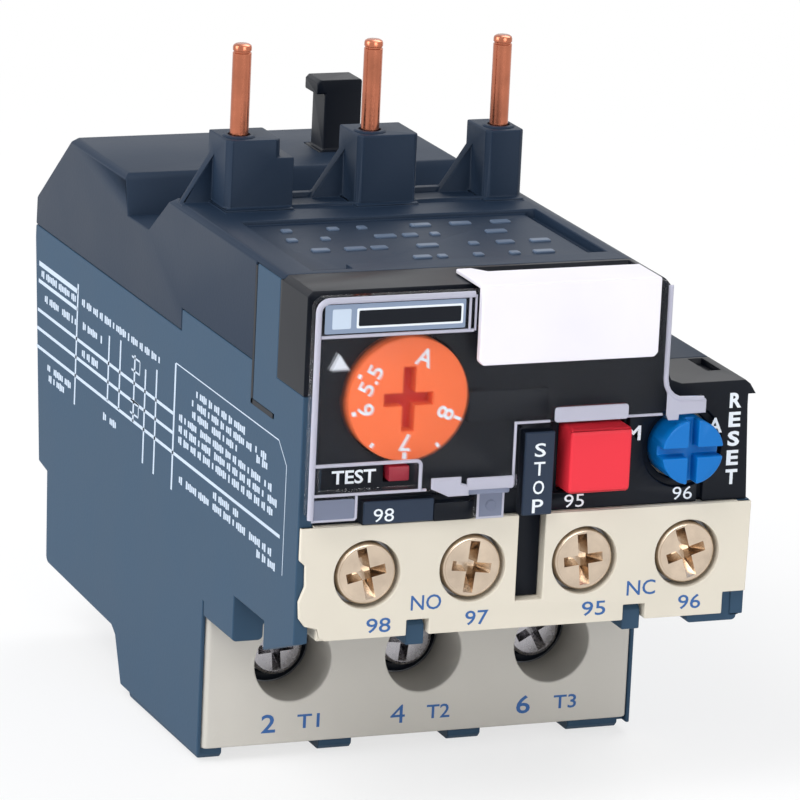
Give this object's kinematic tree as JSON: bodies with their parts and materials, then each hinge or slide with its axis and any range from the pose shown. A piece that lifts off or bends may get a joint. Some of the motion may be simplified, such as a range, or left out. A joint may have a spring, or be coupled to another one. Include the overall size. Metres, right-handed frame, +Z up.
{
  "type": "thermal overload relay",
  "caption": "Three-pole thermal overload relay with plug-in copper pins, setting dial, stop and reset buttons, hinged clear cover and screw terminals.",
  "frame": {"origin": "middle of the floor area, on the plane the feet stand on", "axes": "+Z up along the conductor pins, -Y out of the front with the dial, +X to the side of the RESET knob"},
  "size_m": [0.045, 0.0798, 0.0679],
  "materials": {
    "lower_moulding": "satin blue-grey moulding",
    "upper_moulding": "satin dark blue-grey moulding",
    "panel_black": "near-black moulding",
    "terminal_cream": "cream moulding",
    "clear_window": "clear moulded window",
    "label_white": "white label stock",
    "dial_orange": "orange moulding",
    "stop_red": "red moulding",
    "reset_blue": "blue moulding",
    "test_red": "dark red moulding",
    "inner_plastic": "natural moulding",
    "screw_brass": "nickel-plated brass",
    "screw_steel": "dark zinc-plated steel",
    "clamp_steel": "zinc-plated steel",
    "contact_brass": "brass strip",
    "pin_copper": "bright copper",
    "bimetal_strip": "two-layer strip",
    "heater_wire": "resistance ribbon",
    "spring_steel": "spring wire"
  },
  "bodies": {
    "housing": {"lower_housing": "lower_moulding", "upper_housing": "upper_moulding", "front_panel": "panel_black", "aux_terminal_block": "terminal_cream", "power_terminal_block": "terminal_cream", "mounting_hook": "panel_black", "stop_spring": "spring_steel", "reset_spring": "spring_steel", "test_spring": "spring_steel", "comp_pivot": "spring_steel", "aux_tab_98": "contact_brass", "aux_tab_97": "contact_brass", "aux_tab_95": "contact_brass", "aux_tab_96": "contact_brass", "power_busbar_1": "pin_copper", "conductor_pin_1": "pin_copper", "heater_lead_1": "pin_copper", "bimetal_1": "bimetal_strip", "heater_1": "heater_wire", "power_busbar_2": "pin_copper", "conductor_pin_2": "pin_copper", "heater_lead_2": "pin_copper", "bimetal_2": "bimetal_strip", "heater_2": "heater_wire", "power_busbar_3": "pin_copper", "conductor_pin_3": "pin_copper", "heater_lead_3": "pin_copper", "bimetal_3": "bimetal_strip", "heater_3": "heater_wire"},
    "cover": {"clear_cover": "clear_window", "marker_plate": "label_white"},
    "dial": {"current_dial": "dial_orange", "dial_cam": "inner_plastic"},
    "stop_button": {"stop_button": "stop_red"},
    "reset_stem": {"reset_plunger": "inner_plastic"},
    "reset_knob": {"reset_knob": "reset_blue"},
    "test_slider": {"test_slider": "test_red"},
    "trip_bar": {"trip_bar": "inner_plastic", "differential_lever": "inner_plastic"},
    "differential_bar": {"differential_bar": "inner_plastic"},
    "comp_lever": {"comp_lever": "bimetal_strip"},
    "trip_lever": {"trip_lever": "inner_plastic"},
    "nc_blade": {"nc_blade": "contact_brass"},
    "no_blade": {"no_blade": "contact_brass"},
    "aux_clamp_98": {"aux_clamp_98": "clamp_steel"},
    "aux_screw_98": {"aux_screw_98": "screw_brass"},
    "aux_clamp_97": {"aux_clamp_97": "clamp_steel"},
    "aux_screw_97": {"aux_screw_97": "screw_brass"},
    "aux_clamp_95": {"aux_clamp_95": "clamp_steel"},
    "aux_screw_95": {"aux_screw_95": "screw_brass"},
    "aux_clamp_96": {"aux_clamp_96": "clamp_steel"},
    "aux_screw_96": {"aux_screw_96": "screw_brass"},
    "power_clamp_1": {"power_clamp_1": "clamp_steel"},
    "power_screw_1": {"power_screw_1": "screw_steel"},
    "power_clamp_2": {"power_clamp_2": "clamp_steel"},
    "power_screw_2": {"power_screw_2": "screw_steel"},
    "power_clamp_3": {"power_clamp_3": "clamp_steel"},
    "power_screw_3": {"power_screw_3": "screw_steel"}
  },
  "joints": [
    {"name": "cover_hinge", "type": "hinge", "parent": "housing", "child": "cover", "pos_m": [0, -0.03225, 0.0513], "axis": [-1, 0, 0], "range_deg": [0, 95]},
    {"name": "dial_turn", "type": "hinge", "parent": "housing", "child": "dial", "pos_m": [-0.0126, -0.03755, 0.0419], "axis": [0, 1, 0], "range_deg": [0, 184]},
    {"name": "stop_press", "type": "slide", "parent": "housing", "child": "stop_button", "axis": [0, 1, 0], "range_m": [0, 0.002], "stiffness_N_per_m": 600, "deforming": ["stop_spring"]},
    {"name": "reset_press", "type": "slide", "parent": "housing", "child": "reset_stem", "axis": [0, 1, 0], "range_m": [0, 0.002], "stiffness_N_per_m": 600, "deforming": ["reset_spring"]},
    {"name": "reset_mode_turn", "type": "hinge", "parent": "reset_stem", "child": "reset_knob", "pos_m": [0.0153, -0.03755, 0.0357], "axis": [0, 1, 0], "range_deg": [0, 90]},
    {"name": "test_press", "type": "slide", "parent": "housing", "child": "test_slider", "axis": [0, 1, 0], "range_m": [0, 0.0012], "stiffness_N_per_m": 400, "deforming": ["test_spring"]},
    {"name": "trip_lever_turn", "type": "hinge", "parent": "housing", "child": "trip_lever", "pos_m": [0.0003, -0.01855, 0.0346], "axis": [0, -1, 0], "range_deg": [0, 4.9], "stiffness_Nm_per_rad": 0.1},
    {"name": "trip_bar_slide", "type": "slide", "parent": "housing", "child": "trip_bar", "axis": [-1, 0, 0], "range_m": [0, 0.0016]},
    {"name": "differential_bar_slide", "type": "slide", "parent": "housing", "child": "differential_bar", "axis": [-1, 0, 0], "range_m": [0, 0.0016]},
    {"name": "comp_lever_turn", "type": "hinge", "parent": "housing", "child": "comp_lever", "pos_m": [-0.0162, -0.02155, 0.0362], "axis": [0, 1, 0], "range_deg": [0, 15]},
    {"name": "nc_blade_turn", "type": "hinge", "parent": "housing", "child": "nc_blade", "pos_m": [0.00583, -0.01855, 0.0306], "axis": [0, -1, 0], "range_deg": [0, 8.5]},
    {"name": "no_blade_turn", "type": "hinge", "parent": "housing", "child": "no_blade", "pos_m": [-0.00533, -0.01855, 0.03225], "axis": [0, -1, 0], "range_deg": [0, 8]},
    {"name": "aux_clamp_slide_98", "type": "slide", "parent": "housing", "child": "aux_clamp_98", "axis": [0, 1, 0], "range_m": [0, 0.0012]},
    {"name": "aux_screw_turn_98", "type": "hinge", "parent": "aux_clamp_98", "child": "aux_screw_98", "pos_m": [-0.0157, -0.03755, 0.0254], "axis": [0, 1, 0], "range_deg": [0, 720]},
    {"name": "aux_clamp_slide_97", "type": "slide", "parent": "housing", "child": "aux_clamp_97", "axis": [0, 1, 0], "range_m": [0, 0.0012]},
    {"name": "aux_screw_turn_97", "type": "hinge", "parent": "aux_clamp_97", "child": "aux_screw_97", "pos_m": [-0.00533, -0.03755, 0.0254], "axis": [0, 1, 0], "range_deg": [0, 720]},
    {"name": "aux_clamp_slide_95", "type": "slide", "parent": "housing", "child": "aux_clamp_95", "axis": [0, 1, 0], "range_m": [0, 0.0012]},
    {"name": "aux_screw_turn_95", "type": "hinge", "parent": "aux_clamp_95", "child": "aux_screw_95", "pos_m": [0.00583, -0.03755, 0.0254], "axis": [0, 1, 0], "range_deg": [0, 720]},
    {"name": "aux_clamp_slide_96", "type": "slide", "parent": "housing", "child": "aux_clamp_96", "axis": [0, 1, 0], "range_m": [0, 0.0012]},
    {"name": "aux_screw_turn_96", "type": "hinge", "parent": "aux_clamp_96", "child": "aux_screw_96", "pos_m": [0.0162, -0.03755, 0.0254], "axis": [0, 1, 0], "range_deg": [0, 720]},
    {"name": "power_clamp_slide_1", "type": "slide", "parent": "housing", "child": "power_clamp_1", "axis": [0, 1, 0], "range_m": [0, 0.0014]},
    {"name": "power_screw_turn_1", "type": "hinge", "parent": "power_clamp_1", "child": "power_screw_1", "pos_m": [-0.0131, -0.00755, 0.0094], "axis": [0, 1, 0], "range_deg": [0, 720]},
    {"name": "power_clamp_slide_2", "type": "slide", "parent": "housing", "child": "power_clamp_2", "axis": [0, 1, 0], "range_m": [0, 0.0014]},
    {"name": "power_screw_turn_2", "type": "hinge", "parent": "power_clamp_2", "child": "power_screw_2", "pos_m": [0.0003, -0.00755, 0.0094], "axis": [0, 1, 0], "range_deg": [0, 720]},
    {"name": "power_clamp_slide_3", "type": "slide", "parent": "housing", "child": "power_clamp_3", "axis": [0, 1, 0], "range_m": [0, 0.0014]},
    {"name": "power_screw_turn_3", "type": "hinge", "parent": "power_clamp_3", "child": "power_screw_3", "pos_m": [0.0137, -0.00755, 0.0094], "axis": [0, 1, 0], "range_deg": [0, 720]}
  ],
  "couplings": [
    {"joint": "trip_bar_slide", "follows": "trip_lever_turn", "m_per_rad": 0.018707},
    {"joint": "differential_bar_slide", "follows": "trip_lever_turn", "m_per_rad": 0.018707},
    {"joint": "comp_lever_turn", "follows": "trip_lever_turn", "ratio": 3.0609},
    {"joint": "nc_blade_turn", "follows": "trip_lever_turn", "ratio": 1.7345},
    {"joint": "no_blade_turn", "follows": "trip_lever_turn", "ratio": 1.6325},
    {"joint": "aux_screw_turn_98", "follows": "aux_clamp_slide_98", "rad_per_m": 10471},
    {"joint": "aux_screw_turn_97", "follows": "aux_clamp_slide_97", "rad_per_m": 10471},
    {"joint": "aux_screw_turn_95", "follows": "aux_clamp_slide_95", "rad_per_m": 10471},
    {"joint": "aux_screw_turn_96", "follows": "aux_clamp_slide_96", "rad_per_m": 10471},
    {"joint": "power_screw_turn_1", "follows": "power_clamp_slide_1", "rad_per_m": 8975.1},
    {"joint": "power_screw_turn_2", "follows": "power_clamp_slide_2", "rad_per_m": 8975.1},
    {"joint": "power_screw_turn_3", "follows": "power_clamp_slide_3", "rad_per_m": 8975.1}
  ]
}
